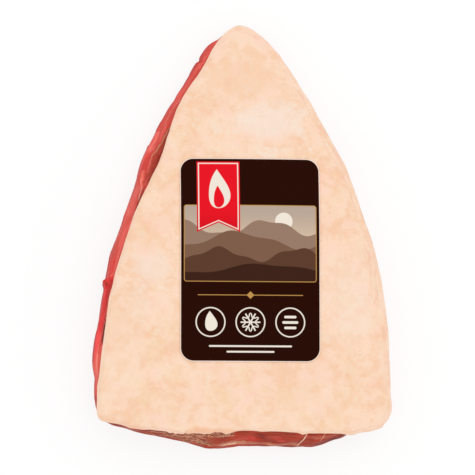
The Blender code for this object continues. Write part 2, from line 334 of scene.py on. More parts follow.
class Paint:
    # a material, with its Principled shader and the place on the object in millimetres
    def __init__(self, name, **constants):
        self.material = bpy.data.materials.new(name)
        self.material.use_nodes = True
        self.tree = self.material.node_tree
        self.shader = self.tree.nodes["Principled BSDF"]
        self.give(constants)
        spot = self.node("ShaderNodeTexCoord", output="Object")
        self.place = self.node("ShaderNodeVectorMath", {"operation": "SCALE"}, {0: spot, "Scale": 1 / mm})

    def put(self, socket, value):
        if isinstance(value, Wire):
            self.tree.links.new(value.socket, socket)
        elif socket.type == "RGBA" and len(value) == 3:
            socket.default_value = (*value, 1)
        else:
            socket.default_value = value

    def give(self, values):
        for name, value in values.items():
            self.put(self.shader.inputs[name.replace("_", " ")], value)

    def node(self, kind, settings=None, sockets=None, output=0):
        made = self.tree.nodes.new(kind)
        for setting, value in (settings or {}).items():
            setattr(made, setting, value)
        for socket, value in (sockets or {}).items():
            self.put(made.inputs[socket], value)
        return Wire(self, made.outputs[output])

    def maths(self, operation, *values):
        return self.node("ShaderNodeMath", {"operation": operation}, dict(enumerate(values)))

    def mix(self, factor, low, high):
        return self.node("ShaderNodeMix", {"data_type": "RGBA"}, {0: factor, 6: low, 7: high}, output=2)

    def split(self, vector):
        made = self.node("ShaderNodeSeparateXYZ", sockets={0: vector}).socket.node
        return [Wire(self, made.outputs[axis]) for axis in range(3)]

    def join(self, x, y, z):
        return self.node("ShaderNodeCombineXYZ", sockets={0: x, 1: y, 2: z})

    def noise(self, vector, size, detail, roughness, warp=0):
        # a noise whose patches are about this many millimetres across
        sockets = {"Vector": vector, "Scale": 1 / size, "Detail": detail, "Roughness": roughness}
        return self.node("ShaderNodeTexNoise", sockets={**sockets, "Distortion": warp})

    def wall(self):
        return self.split(self.node("ShaderNodeUVMap", {"uv_map": "wall"}))[:2]

    def nearLine(self, along, depth, start, end, width):
        # 1 on the straight line from start to end on the wall, falling to 0 at the width
        wayX, wayY = (wallSpot(end) - wallSpot(start)).tolist()
        startX, startY = wallSpot(start).tolist()
        x, y = along - startX, depth - startY
        t = ((x * wayX + y * wayY) / (wayX**2 + wayY**2)).most(0).least(1)
        offX, offY = x - t * wayX, y - t * wayY
        return (offX * offX + offY * offY).step(width**2, 0)

    def bump(self, height, depth):
        return self.node("ShaderNodeBump", sockets={"Height": height, "Distance": depth * mm})

    def finish(self, colour, **values):
        self.give({"Base Color": colour, **values})
        return self.material


rimLength = float(Rim(8).perimeter)
print("scene: helpers ready, the rim is", round(rimLength), "mm round")


# The lean

lean = {
    "columns": 1000,
    "seamSteps": 4,
    "upperSteps": 54,
    "lowerSteps": 20,
    "underRings": 14,
    "roundFoot": (0.37, 0.014, 0.75),  # a corner whose foot is drawn in less: share, half width, part
    "grooves": [  # share down the wall, sway, waves round the rim, depth and width
        (0.34, 0.1, 3, 1.3, 0.1), (0.78, 0.06, 5, 0.8, 0.08),
    ],
    "grainDepth": 0.5,
    "fibres": [(0.05, 1.8, 9, 11), (0.09, 4.5, 5, 12)],  # height, size, length in sizes, and seed
    "lumps": [(0.1, 0.35, 17, 13), (0.03, 0.1, 5, 14)],  # height, how much more lower down, size, seed
    "hollows": (0.5, 0.28, 21, 15),  # underneath: depth, how far it varies, size and seed
    "furrows": (0.12, 5, 4, 16),  # underneath: depth, size, length in sizes, and seed
    "wallEase": (0.02, 0.1),  # the relief fades over these, at the fat and at the board
    "underEase": 0.06,
    "rougher": (0.66, 0.12),  # where the lumps grow, and over how much of the wall
    "folds": [  # from and to on the wall, then width and height in millimetres
        # the hollow of the long side, and the ridges beside it
        ((112, 12), (128, 16), 3, -1.8), ((128, 19), (153, 20), 6, -3.6),
        ((119, 20.5), (127.6, 29), 1.3, 0.5), ((127.6, 29), (138, 33), 1.3, 0.5),
        ((138, 33), (151.6, 31.5), 1.3, 0.5), ((154, 39.5), (167, 33), 1, 0.3),
        ((169, 27.5), (179, 19), 0.8, 0.3), ((171, 17), (190, 16), 1.5, -0.8),
        # the steps and the pinch under the tip
        ((19.5, 0), (19.5, 90), 3.4, -0.6), ((43.5, 0), (43.5, 80), 1.4, -1),
        ((85, 0), (85, 70), 3, -0.5),
        # the folded flap, and the cut below it
        ((244, 20), (248, 32), 1.1, 0.6), ((249, 32), (252, 50), 1.6, 1),
        ((252.5, 50), (254, 75), 2, 1.3), ((254.5, 15), (255.5, 42), 1.8, -1.2),
        ((287, 15), (302, 13), 1.8, -1.6), ((330, 10), (334, 60), 2.5, -0.5),
        # the broad end
        ((384, 30), (396, 80), 5, -0.5), ((457, 30), (457, 90), 5, -0.6),
        ((500, 20), (515, 35), 3, -0.9), ((478, 40), (500, 35), 1.6, -0.6),
        ((584.5, 25), (588.5, 80), 4, -1.1),
    ],
    "coral": (0.755, 0.099, 0.077),
    "rose": (0.9, 0.185, 0.155),
    "sheenRed": (0.93, 0.088, 0.08),
    "scarlet": (0.8, 0.038, 0.04),
    "vivid": (0.66, 0.024, 0.027),
    "blood": (0.45, 0.022, 0.017),
    "deep": (0.29, 0.026, 0.018),
    "rust": (0.38, 0.036, 0.014),
    "umber": (0.15, 0.03, 0.018),
    "brown": (0.34, 0.052, 0.029),
    "brick": (0.47, 0.056, 0.033),
    "tan": (0.6, 0.27, 0.16),
    "cream": (0.85, 0.56, 0.4),
    "peach": (0.96, 0.23, 0.17),
    "plum": (0.36, 0.045, 0.07),
    "membrane": (0.56, 0.26, 0.23),
    "marks": [  # colour, strength, from and to on the wall, and width
        # near the tip, where the rose marks are painted highlights on the bulges and the ridge
        ("rose", 0.7, (26.2, 36), (27.5, 36), 1.6), ("rose", 0.6, (49, 22), (51, 22), 1.3),
        ("rose", 0.6, (84.5, 25), (86, 40), 2), ("rose", 0.4, (90, 35), (102, 38), 4),
        # the hollow, and the ridges beside it; the brown and deep marks are painted shade in the hollow,
        # and the umber line is painted shade under the fat's edge
        ("brown", 0.6, (114, 15), (126, 19), 4), ("brown", 0.9, (124.5, 19), (156, 21), 7.5),
        ("deep", 0.6, (137, 23), (141, 23), 3.5), ("deep", 0.7, (150, 23), (156.5, 20), 4),
        ("umber", 0.6, (112, 13), (156, 15), 2), ("tan", 0.6, (110.5, 15.5), (119, 20.5), 1),
        ("tan", 0.6, (119, 20.5), (127.6, 29), 1), ("tan", 0.6, (127.6, 29), (138, 33.2), 1),
        ("tan", 0.4, (138, 33.2), (144, 33.5), 1), ("rose", 0.45, (144, 33.5), (153, 31.5), 1.2),
        # painted highlight: the strong rose band along the ridge
        ("rose", 0.9, (117, 45), (132.5, 42), 3), ("scarlet", 0.3, (138, 43), (152, 42), 4.5),
        ("peach", 0.6, (154, 39.5), (162.5, 36.5), 1.6),
        ("peach", 0.8, (161.5, 36.5), (168.5, 29.5), 1.5), ("rose", 0.5, (172, 40), (190, 38), 6),
        # painted shade: the deep and umber lines along the groove under the fat's edge
        ("cream", 0.7, (169, 27.5), (179.2, 19.5), 1), ("deep", 0.6, (168, 18.5), (196, 17), 2.6),
        ("umber", 0.6, (174, 18), (189, 17.2), 1.4), ("scarlet", 0.4, (236, 38), (245, 38), 5),
        # the folded flap, and the darker cut below it; the rose line on the flap's ridge is a painted
        # highlight, and the umber under its edge and in the cut beside it is painted shade
        ("rose", 0.8, (243, 24), (247.5, 30), 0.9), ("umber", 0.75, (247.8, 33), (251.5, 46), 0.9),
        ("vivid", 0.9, (257, 40), (290, 40), 9), ("scarlet", 0.7, (249.5, 27), (252.5, 40), 2.5),
        ("blood", 0.95, (254.5, 29), (293, 29), 4.2), ("umber", 0.9, (254.1, 43), (254.8, 40), 1.7),
        ("scarlet", 0.8, (256.2, 42), (264, 42), 3), ("coral", 0.6, (264.5, 50), (273, 50), 2.4),
        # painted shade: the deep and umber lines along the groove by the fat
        ("deep", 0.8, (283, 21), (304, 16), 3.2), ("umber", 0.9, (289.5, 19), (302, 16.5), 2),
        # painted sheen on the bulge: the bright red mark on it, and the plum along its outer edge
        ("scarlet", 0.9, (290, 42), (302, 42), 8), ("sheenRed", 0.9, (301, 40), (313, 38), 7),
        ("peach", 0.9, (317, 30), (329, 36), 7), ("plum", 0.5, (300, 53), (318, 51), 3),
        ("rose", 0.55, (335, 40), (350, 44), 8), ("umber", 0.6, (353.5, 47), (366, 47), 6),
        # the broad end
        ("umber", 0.6, (374, 50), (395, 42), 8), ("brown", 0.9, (400, 46), (427, 45), 12),
        ("deep", 0.6, (404, 30), (424, 36), 3.5), ("tan", 0.8, (395.5, 44), (404.5, 44), 3),
        ("plum", 0.4, (428, 46), (434, 48), 5), ("rust", 0.85, (459, 53), (473.5, 49), 5),
        ("brown", 0.85, (466.5, 31), (479, 31), 6.5), ("tan", 0.45, (469, 43), (475, 43), 2),
        ("tan", 0.6, (473, 22), (484, 22), 2), ("brick", 0.8, (488.5, 27), (500, 30), 7),
        ("coral", 0.35, (490, 34), (503, 32), 2.6), ("deep", 0.95, (507, 19), (511.5, 28), 4.6),
        ("umber", 0.6, (508, 18), (510.5, 26), 2.2), ("vivid", 0.35, (498.5, 29), (506, 34), 2.6),
        ("coral", 0.5, (520.5, 25), (527.5, 34), 2.6), ("tan", 0.8, (477, 45), (494.5, 43), 3),
        ("tan", 0.45, (490, 44), (506, 42), 1.8), ("cream", 0.7, (478.5, 47), (487, 45), 1.8),
        ("tan", 0.35, (500, 42), (517, 46), 2.6), ("tan", 0.65, (519.5, 47), (540.5, 46), 2.8),
        ("brick", 0.6, (518, 26), (534, 30), 4.5), ("umber", 0.6, (510, 55), (552, 54), 2.4),
        ("brown", 0.8, (550, 50), (566, 44), 5), ("tan", 0.3, (556, 26), (572, 22), 3),
        ("umber", 0.85, (560, 48), (580, 36), 5),
    ],
    "stray": (0.9, 3.2, 1.8),  # how ragged a mark is: power of its width, along, down
    "frayed": ((434, 38), (458, 31), 9.5),  # the torn tissue of the broad end
    "frayedStray": (16, 10),  # how ragged that is, along and down
    "frayedTones": [  # nearness from and to, specks from and to, colour, strength
        ((0, 0.5), (0.46, 0.54), "tan", 0.8),
        ((0.1, 0.6), (0.56, 0.64), "cream", 0.4),
    ],
    "brownEnd": (0.376, 0.618, 0.018),  # the broad end's colours: from, to and ease
    "drawn": {  # noises drawn out along the rim: squeeze, level, size, detail, roughness, warp
        "streaks": (0.12, 0, 1.8, 3, 0.5, 0),
        "bundles": (0.2, 3, 5, 3, 0.55, 0.4),
        "ragged": (0.35, 7, 2.4, 4, 0.65, 0),
        "specks": (0.5, 21, 1.5, 3, 0.6, 0),
        "veins": (0.08, 14, 5, 3, 0.6, 0),
        "hairs": (0.2, 30, 0.7, 2, 0.5, 0),
    },
    "patches": (13, 4, 0.55, 0.5),  # size, detail, roughness, warp
    "underTones": [  # pattern, from, to, colour, strength on the long side and the broad end
        ("bundles", 0.58, 0.4, "deep", 0.35, 0.35),
        ("bundles", 0.52, 0.7, "rose", 0.35, 0.2),
        ("patches", 0.5, 0.62, "brick", 0, 0.6),
    ],
    "overTones": [  # the same, over the marks
        ("streaks", 0.46, 0.32, "deep", 0.2, 0.2),
        ("streaks", 0.6, 0.76, "rose", 0.12, 0.04),
        # painted shade: plum darkening down the wall towards the belly, where it turns away, mostly on the
        # long side
        ("down", 0.46, 0.58, "plum", 0.38, 0.04),
        ("hairs", 0.45, 0.3, "deep", 0.2, 0.2),
        ("hairs", 0.58, 0.72, "tan", 0.1, 0.2),
    ],
    "veins": ((0.03, 0.004), (0.6, 0.78), 0.5),  # of pale membrane: width, depth and strength
    "soleGrain": (2.6, 4, 0.6),  # of the pressed underside: size, detail, roughness
    "soleSkin": (34, 5, 0.62),
    "soleDepth": (0.9, 1.01),
    "specular": 0.04,
    "roughness": (0.34, 0.22),  # the least, and how much more on the streaks
    "bumpDepth": 0.12,
}


def leanRelief(rim, down):
    # two crossed waves for the grain of the broad end, less a bell for each groove between
    # bundles, all times half a sine from the seam down to the board
    broad = band(rim.share, *cut["broadEnd"])
    grain = wave(29 * rim.share + 1.3 * down) * wave(11 * rim.share + 2.1 * down)
    relief = lean["grainDepth"] * broad * grain
    for height, sway, waves, depth, width in lean["grooves"]:
        line = height + sway * wave(waves * rim.share + 0.1)
        relief = relief - depth * (1 - 0.6 * broad) * bell(down, line, width)
    return np.sin(math.pi * down) * relief


def leanForm(rim):
    # out to the belly by a power of a sine, and down by 1 less a power of a cosine; in to the
    # foot by 1 less a cosine, and down by a sine; then rings inwards along the board
    top = seamRings(rim, 0, lean["seamSteps"])
    shoulder = top[-1]
    belly = rim.points + rim.read("overhang")[:, None] * rim.normals
    bellyHeight = cut["belly"] * shoulder[:, 2]

    turn = quarterTurns(lean["upperSteps"])
    out = np.sin(turn) ** cut["leanFullness"]
    upperDown = (1 - cut["belly"]) * turn / (math.pi / 2)
    plan = between(shoulder[:, :2], belly, out[..., None])
    upper = withHeight(
        plan + leanRelief(rim, upperDown)[..., None] * rim.normals,
        shoulder[:, 2] - (1 - np.cos(turn) ** cut["leanFullness"]) * (shoulder[:, 2] - bellyHeight),
    )

    turn = quarterTurns(lean["lowerSteps"])
    lowerDown = 1 - cut["belly"] + cut["belly"] * turn / (math.pi / 2)
    corner, span, part = lean["roundFoot"]
    undercut = cut["undercut"] * (1 - part * bell(rim.share, corner, span))
    inset = leanRelief(rim, lowerDown) - undercut * (1 - np.cos(turn))
    lower = withHeight(belly + inset[..., None] * rim.normals, bellyHeight * (1 - np.sin(turn)))

    parts = np.linspace(1, 0, lean["underRings"] + 2)[1:-1, None] * np.ones_like(rim.share)
    under = towardsRim(lower[-1, :, :2], parts)
    rings = np.concatenate([top, upper, lower, withHeight(under, np.zeros(under.shape[:2]))])
    down = np.concatenate([np.zeros(len(top)), upperDown[:, 0], lowerDown[:, 0], 2 - parts[:, 0]])
    return rings, down


def leanPiece(material):
    # the solid's form, moved along its normals by the sum of its folds, fibres, lumps and hollows
    rim = Rim(lean["columns"])
    rings, down = leanForm(rim)
    share = np.where(rim.share >= cut["startShare"], rim.share - 1, rim.share)
    places = wallMap(share[None], down[:, None])
    topEase, footEase = lean["wallEase"]
    wall = smoothStep(down / topEase)[:, None] * smoothStep((1 - down) / footEase)[:, None]
    under = smoothStep((down - 1) / lean["underEase"])[:, None]
    rougher, ease = lean["rougher"]
    low = smoothStep((down - rougher) / ease)[:, None]

    push = sum(height * nearLine(places, start, end, width) for start, end, width, height in lean["folds"])
    flat = withHeight(places, np.zeros(places.shape[:2]))
    for height, size, length, seed in lean["fibres"]:
        push = push + height * randomField(flat, size, seed, stretch=(length, 1, 1))
    for height, more, size, seed in lean["lumps"]:
        push = push + (height + more * low) * randomField(rings, size, seed)
    depth, swing, size, seed = lean["hollows"]
    hollows = -depth - swing * randomField(rings, size, seed)
    depth, size, length, seed = lean["furrows"]
    hollows = hollows - depth * np.abs(randomField(rings, size, seed, stretch=(1, length, 1)))

    push = wall * push + under * np.minimum(hollows, 0)
    rings = rings + push[..., None] * gridNormals(rings)
    rings[..., 2] = np.maximum(rings[..., 2], 0)
    piece = closedPiece("lean_meat", rings, down, material)
    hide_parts("muscle")
    return {"rings": rings, "normals": gridNormals(rings), "down": down}


def leanMaterial():
    paint = Paint("raw_lean", Specular_IOR_Level=lean["specular"])
    along, depth = paint.wall()
    share, down = along / rimLength, depth / cut["wallHeight"]
    broad = share.band(*lean["brownEnd"])
    patterns = {"down": down, "patches": paint.noise(paint.place, *lean["patches"])}
    for name, (squeeze, level, *noise) in lean["drawn"].items():
        patterns[name] = paint.noise(paint.join(along * squeeze, depth, level), *noise)

    def tone(colour, rows):
        for name, start, end, tint, longSide, broadEnd in rows:
            cover = patterns[name].step(start, end) * between(longSide, broadEnd, broad)
            colour = paint.mix(cover, colour, lean[tint])
        return colour

    colour = tone(paint.mix(broad, lean["coral"], lean["brown"]), lean["underTones"])

    # the torn tissue: pale specks drawn out along the rim, over brown
    ragged = patterns["ragged"] - 0.5
    strayAlong, strayDown = lean["frayedStray"]
    torn = paint.nearLine(along + ragged * strayAlong, depth + ragged * strayDown, *lean["frayed"])
    colour = paint.mix(torn.step(0, 0.35) * 0.7, colour, lean["brown"])
    for near, speck, tint, strength in lean["frayedTones"]:
        cover = torn.step(*near) * patterns["specks"].step(*speck) * strength
        colour = paint.mix(cover, colour, lean[tint])

    # the marks: streaks and patches of the meat's colours, among them painted shade in the hollow and the
    # grooves by the fat, painted highlights on ridges and bulges, and painted sheen
    uneven = patterns["streaks"].step(0.3, 0.55) * 0.4 + 0.6
    power, strayAlong, strayDown = lean["stray"]
    for tint, strength, start, end, width in lean["marks"]:
        stray = width**power
        strayed = along + ragged * (strayAlong * stray), depth + ragged * (strayDown * stray)
        near = paint.nearLine(*strayed, start, end, width)
        colour = paint.mix(near * uneven * strength, colour, lean[tint])

    # pale membrane between the fibres, low on the wall
    width, depths, strength = lean["veins"]
    vein = abs(patterns["veins"] - 0.5).step(*width) * down.step(*depths)
    # then the tones over the marks, whose plum towards the belly is painted shade
    colour = tone(paint.mix(vein * strength, colour, lean["membrane"]), lean["overTones"])

    # the pressed underside: its grain runs along the cut, under patches of thin membrane
    x, y, _ = paint.split(paint.place)
    grain = paint.noise(paint.join(x + y * 0.25, y * 0.12, 0), *lean["soleGrain"])
    skin = paint.noise(paint.join(x, y * 0.6, 0), *lean["soleSkin"])
    sole = paint.mix(patterns["patches"].step(0.36, 0.62), lean["brick"], lean["coral"])
    sole = paint.mix(grain.step(0.5, 0.34) * 0.45, sole, lean["deep"])
    sole = paint.mix(grain.step(0.54, 0.7) * 0.35, sole, lean["membrane"])
    sole = paint.mix(skin.step(0.47, 0.62) * (0.25 + 0.5 * grain), sole, lean["membrane"])
    under = down.step(*lean["soleDepth"])
    colour = paint.mix(under, colour, sole)

    relief = (patterns["streaks"] + 0.5 * patterns["bundles"]) * (1 - under) + grain * under
    least, more = lean["roughness"]
    roughness = least + more * patterns["streaks"]
    return paint.finish(colour, Roughness=roughness, Normal=paint.bump(relief, lean["bumpDepth"]))


# The fat cap

fat = {
    "columns": 640,
    "topRings": 84,
    "rollSteps": 34,
    "lipSteps": 8,
    "seamSteps": 6,
    "gap": 0.3,  # between the fat and the lean
    "shifts": [  # where the edge stands out: share, half width and how far
        (0.3855, 0.0065, -1.05), (0.398, 0.004, 0.6), (0.406, 0.007, 1), (0.419, 0.006, 0.5),
        (0.4385, 0.014, 2.4), (0.46, 0.012, 2.4), (0.479, 0.007, 2), (0.5085, 0.006, 0.5),
        (0.5435, 0.003, 1.2), (0.585, 0.006, 1.2), (0.6125, 0.0025, 0.45), (0.6165, 0.003, -0.35),
        (0.27, 0.012, 0.6), (0.341, 0.008, 0.7), (0.69, 0.014, 0.5), (0.772, 0.018, 0.8),
    ],
    "frayed": (0.425, 0.485, 0.008),  # where the edge is torn: from, to and ease
    "tears": [(0.21, 2.6, 25), (0.175, 7, 26)],  # depth, size and seed
    "swells": [(0.3, 30, 21), (0.14, 10, 22), (0.04, 3.2, 23)],  # height, size and seed
    "layers": (0.07, 3, 4, 24),  # on its side: height, size, length in sizes, and seed
    "calm": (0.85, 0.7),  # how much calmer it is under the label, and on the side
    "flesh": (0.925, 0.655, 0.478),
    "warm": (0.893, 0.573, 0.383),
    "pale": (0.932, 0.7, 0.54),
    "milk": (0.905, 0.755, 0.65),
    "blush": (0.94, 0.645, 0.51),
    "butter": (0.91, 0.675, 0.45),
    "apricot": (0.88, 0.45, 0.25),
    "tissue": (0.84, 0.47, 0.34),
    "sideFrom": (-15, -13),  # where that side begins on the map
    "noises": {  # size, detail, roughness, warp
        "broad": (26, 3, 0.5, 0.3),
        "mid": (7, 3, 0.55, 0.3),
        "fine": (2.2, 2, 0.5),
        "tint": (14, 4, 0.6, 0.3),
        "grain": (0.9, 3, 0.6),
    },
    "tones": [  # noise, from and to, colour, strength
        ("tone", 0.54, 0.38, "warm", 1),
        ("tone", 0.47, 0.63, "pale", 0.9),
        ("tint", 0.5, 0.68, "blush", 0.7),
        ("tint", 0.48, 0.32, "butter", 0.5),
    ],
    "tissueLayers": (3, 3, 0.6, 0.4),  # on that side: size, detail, roughness, warp
    "tissueWidth": (0.035, 0.008),
    "roughness": 0.5,
    "specular": 0.2,
    "bumpDepth": 0.1,
    "patches": [  # colour, strength, middle and half sizes along x, y and z
        ("milk", 0.7, (15, 70, 36), (26, 15, 40)), ("milk", 0.6, (-60, -22, 42), (12, 12, 40)),
        ("milk", 0.3, (-66, -45, 42), (9, 14, 40)), ("milk", 0.3, (66, -40, 42), (20, 34, 40)),
        ("warm", 0.55, (0, 98, 32), (24, 16, 40)), ("warm", 0.35, (-62, -2, 42), (11, 14, 40)),
        ("warm", 0.3, (-82, -62, 42), (9, 22, 40)), ("warm", 0.3, (30, -100, 44), (20, 12, 40)),
        ("apricot", 0.65, (-26, -124.8, 43), (9, 3.4, 8)),
        ("apricot", 0.5, (-13, -125, 43), (11, 2.4, 8)), ("apricot", 0.45, (-80, -122, 39), (10, 3, 8)),
        ("apricot", 0.5, (-69, -123.5, 40), (10, 2.6, 8)),
    ],
}


def fatForm(rim):
    # rings across the top; out to the widest line by a sine, and down by a power of a cosine; in
    # under it by the square of the way down; and back along the seam
    roll = rim.read("roll")
    seam = seamRings(rim, fat["gap"], fat["seamSteps"])
    edge = seam[-1]
    flat = withHeight(rim.points, np.zeros_like(rim.share))
    shift = sum(size * bell(rim.share, share, width) for share, width, size in fat["shifts"])
    tears = sum(depth * randomField(flat, size, seed) for depth, size, seed in fat["tears"])
    shift = shift + band(rim.share, *fat["frayed"]) * tears
    outer = rim.points + shift[:, None] * rim.normals
    reach = np.linalg.norm(outer - cut["middle"], axis=1)
    inner = towardsRim(outer, 1 - roll / reach)
    widest = between(edge[:, 2], topHeight(inner), cut["fatBulge"])

    parts = (np.arange(1, fat["topRings"] + 1) / fat["topRings"])[:, None]
    plan = towardsRim(outer, parts * (1 - roll / reach))
    top = withHeight(plan, topHeight(plan))

    turn = quarterTurns(fat["rollSteps"])
    plan = towardsRim(outer, 1 - roll * (1 - np.sin(turn)) / reach)
    rise = np.cos(turn) ** cut["fatFullness"]
    side = withHeight(plan, between(widest, topHeight(plan), rise))

    part = (np.arange(1, fat["lipSteps"]) / fat["lipSteps"])[:, None]
    plan = between(outer, edge[:, :2], part[..., None] ** 2)
    lip = withHeight(plan, between(widest, edge[:, 2], part))
    return np.concatenate([top, side, lip, seam[::-1]])


def fatPiece(material):
    # the solid's form, moved along its normals by random swells, calmer under the label and on
    # the side, and by layers that are drawn out round the side
    rim = Rim(fat["columns"])
    rings = fatForm(rim)
    row = np.arange(len(rings))[:, None]
    outside = smoothStep((len(rings) - len(cut["flats"]) - fat["seamSteps"] - row) / 3)
    side = smoothStep((row - fat["topRings"]) / 6)
    underLabel, onSide = fat["calm"]
    calm = (1 - underLabel * labelCover(rings[..., :2])) * (1 - onSide * side)
    swells = sum(height * randomField(rings, size, seed) for height, size, seed in fat["swells"])
    height, size, length, seed = fat["layers"]
    layers = side * height * randomField(rings, size, seed, stretch=(length, length, 1))
    rings = rings + (outside * (calm * swells + layers))[..., None] * gridNormals(rings)
    down = np.linspace(-1, 0, len(rings))
    piece = closedPiece("fat_layer", rings, down, material)
    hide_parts("fat_cap")


def fatMaterial():
    paint = Paint("raw_fat", Roughness=fat["roughness"], Specular_IOR_Level=fat["specular"])
    noises = {name: paint.noise(paint.place, *noise) for name, noise in fat["noises"].items()}
    noises["tone"] = 0.4 * noises["broad"] + 0.45 * noises["mid"] + 0.15 * noises["fine"]
    colour = fat["flesh"]
    for name, start, end, tint, strength in fat["tones"]:
        colour = paint.mix(noises[name].step(start, end) * strength, colour, fat[tint])

    # ellipsoids of another colour, whose edges stray with the tint
    ragged = (6 * noises["tint"] - 2).most(0.15)
    place = paint.split(paint.place)
    for tint, strength, middle, halves in fat["patches"]:
        offX, offY, offZ = [(axis - mid) / half for axis, mid, half in zip(place, middle, halves)]
        near = ((offX * offX + offY * offY + offZ * offZ) * ragged).step(1.3, 0)
        colour = paint.mix(near * strength, colour, fat[tint])

    # thin layers of tissue on the side of the cap
    along, depth = paint.wall()
    layers = paint.noise(paint.join(along * 0.06, depth, 2), *fat["tissueLayers"])
    tissue = abs(layers - 0.5).step(*fat["tissueWidth"]) * depth.step(*fat["sideFrom"])
    colour = paint.mix(tissue * 0.5, colour, fat["tissue"])
    return paint.finish(colour, Normal=paint.bump(noises["grain"] + noises["mid"], fat["bumpDepth"]))


# The threads and sinews that lie on the lean

def onLean(wall, share, down, lift):
    # blends the four grid points round each place on the finished wall
    rings, table = wall["rings"], wall["down"]
    first, last, around = len(cut["flats"]) + lean["seamSteps"] - 1, len(table) - 1, rings.shape[1]
    column = (share - cut["startShare"]) % 1 * around
    row = np.interp(down, table[first:], np.arange(first, last + 1))
    left, upper = np.floor(column).astype(int), np.floor(row).astype(int)
    right, lower = (left + 1) % around, np.minimum(upper + 1, last)
    across, deep = (column - left)[..., None], (row - upper)[..., None]

    def blend(grid):
        above = between(grid[upper, left], grid[upper, right], across)
        below = between(grid[lower, left], grid[lower, right], across)
        return between(above, below, deep)

    normal = unit(blend(wall["normals"]))
    return blend(rings) + lift[..., None] * normal, normal


def strandPiece(name, strands, wall, share, down, lift, halfWidth, halfThick):
    # each strand is an ellipse along its path, width times cos a, thickness times sin a,
    # tapered to both ends by a power of half a sine
    path, up = onLean(wall, share, down, lift)
    across = unit(np.cross(np.gradient(path, axis=1), up))
    t = np.linspace(0, 1, strands["steps"])
    taper = (np.sin(math.pi * (0.04 + 0.92 * t)) ** 0.45)[None, :, None, None]
    angle = 2 * math.pi * np.arange(strands["sides"]) / strands["sides"]
    wide = (halfWidth[:, None, None] * np.cos(angle))[..., None] * taper * across[:, :, None]
    thick = (halfThick[:, None, None] * np.sin(angle))[..., None] * taper * up[:, :, None]
    points = path[:, :, None] + wide + thick
    index = np.arange(points.size // 3).reshape(points.shape[:3])
    beside = np.roll(index, -1, axis=2)
    quads = np.stack([index[:, :-1], beside[:, :-1], beside[:, 1:], index[:, 1:]], axis=-1)
    ends = np.concatenate([index[:, 0, ::-1], index[:, -1]])

    paint = Paint(strands["material"], Roughness=strands["roughness"], Specular_IOR_Level=0.25)
    tone = paint.noise(paint.place, 3, 3, 0.6).step(0.4, 0.62)
    material = paint.finish(paint.mix(tone, strands["stained"], strands["colour"]))
    addPiece(name, points.reshape(-1, 3), quads.reshape(-1, 4).tolist() + ends.tolist(), material)


threads = {
    "groups": [  # count, from share to share, from depth to depth, longest
        (210, (0.411, 0.465), (0.14, 0.5), 0.009),
        (60, (0.462, 0.484), (0.14, 0.24), 0.005),
    ],
    "gather": 1.5,  # draws them to the middle of their patch, and up towards the fat
    "fall": (0.008, 0.014),  # how far a thread falls: mean and spread
    "bow": (1.5, 0.03),  # as a part of its length, and at most
    "ripple": (0.008, 6, 14),  # height, and slowest and fastest in radians
    "thickness": (0.09, 0.25),
    "flatness": 0.7,
    "lift": 0.4,
    "steps": 12,
    "sides": 6,
    "seed": 31,
    "material": "fat_thread",
    "colour": (0.76, 0.38, 0.235),
    "stained": (0.4, 0.14, 0.078),
    "roughness": 0.45,
}


def frayedThreads(wall):
    # each thread runs along the rim, falls a little, and is bent by a bow and a ripple, two sines
    rng = np.random.default_rng(threads["seed"])
    t = np.linspace(0, 1, threads["steps"])[None]
    gather = threads["gather"]
    bowPart, bowMost = threads["bow"]
    height, slowest, fastest = threads["ripple"]
    shares, downs = [], []
    for count, span, depths, longest in threads["groups"]:
        start = between(*span, rng.beta(gather, gather, (count, 1)))
        length = longest * rng.uniform(0.25, 1, (count, 1))
        depth = between(*depths, rng.uniform(0, 1, (count, 1)) ** gather)
        fall = rng.normal(*threads["fall"], (count, 1))
        bow = np.clip(bowPart * length * rng.standard_t(3, (count, 1)), -bowMost, bowMost)
        ripple = height * np.sin(rng.uniform(slowest, fastest, (count, 1)) * t + 9 * depth)
        shares.append(start + length * t)
        downs.append(np.clip(depth + fall * t + bow * np.sin(math.pi * t) + ripple, 0, 0.9))
    share, down = np.vstack(shares), np.vstack(downs)
    count = len(share)
    thick = rng.uniform(*threads["thickness"], count)
    lift = thick[:, None] * 0.6 + threads["lift"] * rng.uniform(0, 1, (count, 1)) * np.sin(math.pi * t)
    strandPiece("frayed_threads", threads, wall, share, down, lift, thick, thick * threads["flatness"])


sinews = {
    "strips": [  # start and end on the wall, bow across, half width, half thickness
        ((548.5, 0), (541, 50), 0.0008, 0.42, 0.35),
        ((544, 0), (547.2, 6), 0, 0.5, 0.4),
        ((564, 2), (560, 34), 0.0005, 0.16, 0.15),
        ((473, 22), (486, 21), 0, 0.4, 0.3),
        ((169, 27), (179, 20), 0, 0.18, 0.15),
    ],
    "steps": 20,
    "sides": 8,
    "material": "sinew",
    "colour": (0.84, 0.6, 0.44),
    "stained": (0.76, 0.44, 0.3),
    "roughness": 0.35,
}


def sinewStrips(wall):
    # straight from start to end on the wall, with half a sine as a bow along the rim
    starts, ends, bow, width, thick = [np.array(column) for column in zip(*sinews["strips"])]
    starts, ends = starts / (1000, 100), ends / (1000, 100)
    t = np.linspace(0, 1, sinews["steps"])[None]
    share = between(starts[:, :1], ends[:, :1], t) + bow[:, None] * np.sin(math.pi * t)
    down = between(starts[:, 1:], ends[:, 1:], t)
    lift = thick[:, None] * 0.5 + 0 * t
    strandPiece("sinews", sinews, wall, share, down, lift, width, thick)


# The label

